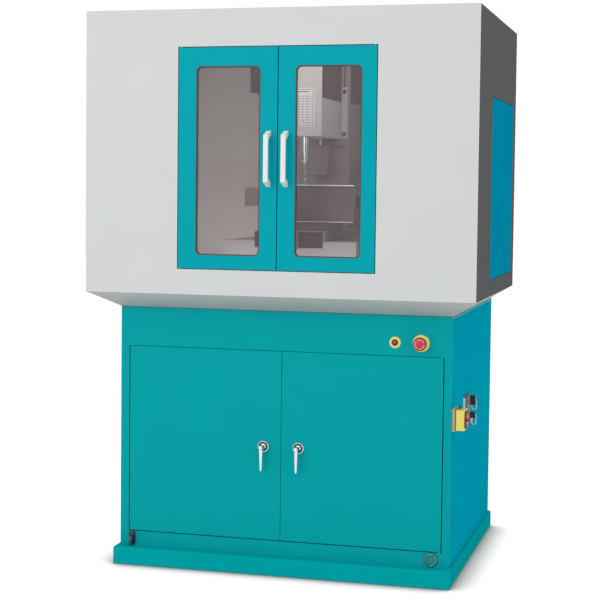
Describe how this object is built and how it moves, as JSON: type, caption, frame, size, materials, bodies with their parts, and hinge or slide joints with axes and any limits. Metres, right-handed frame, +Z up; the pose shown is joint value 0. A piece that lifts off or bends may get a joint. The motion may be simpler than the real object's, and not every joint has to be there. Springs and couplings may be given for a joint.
{
  "type": "enclosed cnc milling machine",
  "caption": "Enclosed CNC milling machine on a sheet steel cabinet, with two windowed doors over a small vertical mill and two lever-latched cabinet doors below.",
  "frame": {"origin": "on the floor, in the middle of the machine's outline seen from above", "axes": "+X to the machine's right as its user faces it, +Y towards its back, +Z up"},
  "size_m": [1.22, 0.993, 1.73],
  "materials": {
    "teal_paint": "semi-gloss powder coat",
    "upper_door_teal": "semi-gloss powder coat",
    "light_grey_paint": "semi-gloss powder coat",
    "dark_grey_paint": "semi-gloss powder coat",
    "tray_grey_paint": "semi-gloss powder coat",
    "zinc_steel": "zinc plated",
    "fitting_black": "satin",
    "port_ring_metal": "polished",
    "smoked_glass": "clear, smoked",
    "gasket_rubber": "matt",
    "pull_white": "gloss",
    "lever_chrome": "polished",
    "button_yellow": "satin",
    "cap_dark_red": "gloss",
    "estop_red": "gloss",
    "isolator_beige": "satin",
    "isolator_yellow": "satin",
    "isolator_red": "satin",
    "connector_grey": "die cast, painted",
    "bail_steel": "polished wire",
    "casting_grey": "painted",
    "table_iron": "ground",
    "apron_steel": "semi-gloss",
    "motor_black": "satin",
    "screw_steel": "ground",
    "head_iron": "painted",
    "head_cover_paint": "semi-gloss powder coat",
    "spindle_steel": "ground",
    "drive_case": "satin",
    "tank_zinc": "zinc plated sheet"
  },
  "bodies": {
    "cabinet": {"plinth": "teal_paint", "base_front_frame": "teal_paint", "base_left_side": "teal_paint", "base_right_side": "teal_paint", "base_back_panel": "teal_paint", "base_deck": "teal_paint", "base_hinge_pins": "zinc_steel", "chip_tray": "tray_grey_paint", "drain_fitting": "fitting_black", "cable_port_ring": "port_ring_metal", "enclosure_front": "light_grey_paint", "enclosure_left_side": "dark_grey_paint", "enclosure_right_side": "dark_grey_paint", "enclosure_roof": "light_grey_paint", "enclosure_back": "dark_grey_paint", "side_access_panel": "upper_door_teal", "window_hinge_pins": "zinc_steel", "power_button_body": "button_yellow", "estop_body": "button_yellow", "isolator_backplate": "isolator_beige", "isolator_box": "isolator_yellow", "connector_housing": "connector_grey", "connector_cover": "connector_grey", "machine_bed": "casting_grey", "column": "casting_grey", "fixed_axis_motors": "motor_black", "servo_drives": "drive_case", "coolant_tank": "tank_zinc"},
    "window_door_left": {"window_door_left": "upper_door_teal", "window_glass_left": "smoked_glass", "window_gasket_left": "gasket_rubber", "door_pull_left": "pull_white"},
    "window_door_right": {"window_door_right": "upper_door_teal", "window_glass_right": "smoked_glass", "window_gasket_right": "gasket_rubber", "door_pull_right": "pull_white"},
    "base_door_left": {"base_door_left": "teal_paint", "handle_rosette_left": "lever_chrome"},
    "base_door_right": {"base_door_right": "teal_paint", "handle_rosette_right": "lever_chrome"},
    "lever_left": {"handle_lever_left": "lever_chrome"},
    "lever_right": {"handle_lever_right": "lever_chrome"},
    "power_cap": {"power_button_cap": "cap_dark_red"},
    "estop_plunger": {"estop_plunger": "estop_red"},
    "estop_head": {"estop_head": "estop_red"},
    "isolator_knob": {"isolator_knob": "isolator_red"},
    "bail_upper": {"connector_bail_upper": "bail_steel"},
    "bail_lower": {"connector_bail_lower": "bail_steel"},
    "saddle": {"saddle": "casting_grey"},
    "y_screw": {"y_ball_screw": "screw_steel"},
    "table": {"table": "table_iron", "table_apron": "apron_steel", "x_axis_motor": "motor_black"},
    "x_screw": {"x_ball_screw": "screw_steel"},
    "head": {"spindle_head": "head_iron", "head_cover": "head_cover_paint", "spindle_motor": "motor_black"},
    "z_screw": {"z_ball_screw": "screw_steel"},
    "spindle": {"spindle": "spindle_steel", "end_mill": "spindle_steel"}
  },
  "joints": [
    {"name": "window_door_left_hinge", "type": "hinge", "parent": "cabinet", "child": "window_door_left", "pos_m": [-0.301, -0.4545, 1.2795], "axis": [0, 0, -1], "range_deg": [0, 110]},
    {"name": "window_door_right_hinge", "type": "hinge", "parent": "cabinet", "child": "window_door_right", "pos_m": [0.301, -0.4545, 1.2795], "axis": [0, 0, 1], "range_deg": [0, 110]},
    {"name": "base_door_left_hinge", "type": "hinge", "parent": "cabinet", "child": "base_door_left", "pos_m": [-0.491, -0.3595, 0.396], "axis": [0, 0, -1], "range_deg": [0, 110]},
    {"name": "base_door_right_hinge", "type": "hinge", "parent": "cabinet", "child": "base_door_right", "pos_m": [0.496, -0.3595, 0.396], "axis": [0, 0, 1], "range_deg": [0, 110]},
    {"name": "lever_left_turn", "type": "hinge", "parent": "base_door_left", "child": "lever_left", "pos_m": [-0.056, -0.3935, 0.394], "axis": [0, 1, 0], "range_deg": [0, 90]},
    {"name": "lever_right_turn", "type": "hinge", "parent": "base_door_right", "child": "lever_right", "pos_m": [0.056, -0.3935, 0.394], "axis": [0, -1, 0], "range_deg": [0, 90]},
    {"name": "power_button_press", "type": "slide", "parent": "cabinet", "child": "power_cap", "axis": [0, 1, 0], "range_m": [0, 0.003], "stiffness_N_per_m": 400, "springref_m": -0.004},
    {"name": "estop_press", "type": "slide", "parent": "cabinet", "child": "estop_plunger", "axis": [0, 1, 0], "range_m": [0, 0.005]},
    {"name": "estop_twist", "type": "hinge", "parent": "estop_plunger", "child": "estop_head", "pos_m": [0.434, -0.3835, 0.732], "axis": [0, 1, 0], "range_deg": [0, 45], "stiffness_Nm_per_rad": 0.02, "springref_deg": -5.73},
    {"name": "isolator_turn", "type": "hinge", "parent": "cabinet", "child": "isolator_knob", "pos_m": [0.5655, -0.3265, 0.503], "axis": [1, 0, 0], "range_deg": [0, 90]},
    {"name": "bail_upper_swing", "type": "hinge", "parent": "cabinet", "child": "bail_upper", "pos_m": [0.5545, -0.0475, 0.524], "axis": [-1, 0, 0], "range_deg": [0, 90]},
    {"name": "bail_lower_swing", "type": "hinge", "parent": "cabinet", "child": "bail_lower", "pos_m": [0.5545, -0.0475, 0.476], "axis": [-1, 0, 0], "range_deg": [0, 90]},
    {"name": "saddle_slide", "type": "slide", "parent": "cabinet", "child": "saddle", "axis": [0, 1, 0], "range_m": [-0.06, 0.09]},
    {"name": "table_slide", "type": "slide", "parent": "saddle", "child": "table", "axis": [1, 0, 0], "range_m": [-0.15, 0.06]},
    {"name": "head_slide", "type": "slide", "parent": "cabinet", "child": "head", "axis": [0, 0, 1], "range_m": [0, 0.11]},
    {"name": "y_screw_turn", "type": "hinge", "parent": "cabinet", "child": "y_screw", "pos_m": [0, -0.2, 1.033], "axis": [0, 1, 0], "range_deg": [-3250, 2170]},
    {"name": "x_screw_turn", "type": "hinge", "parent": "table", "child": "x_screw", "pos_m": [0.046, -0.1415, 1.154], "axis": [1, 0, 0], "range_deg": [-5410, 2170]},
    {"name": "z_screw_turn", "type": "hinge", "parent": "cabinet", "child": "z_screw", "pos_m": [0, 0.093, 1.4], "axis": [0, 0, 1], "range_deg": [-3970, 10]},
    {"name": "spindle_spin", "type": "hinge", "parent": "head", "child": "spindle", "pos_m": [0, -0.1055, 1.4], "axis": [0, 0, 1], "continuous": true}
  ],
  "couplings": [
    {"joint": "y_screw_turn", "follows": "saddle_slide", "rad_per_m": -628.32},
    {"joint": "x_screw_turn", "follows": "table_slide", "rad_per_m": 628.32},
    {"joint": "z_screw_turn", "follows": "head_slide", "rad_per_m": -628.32}
  ]
}
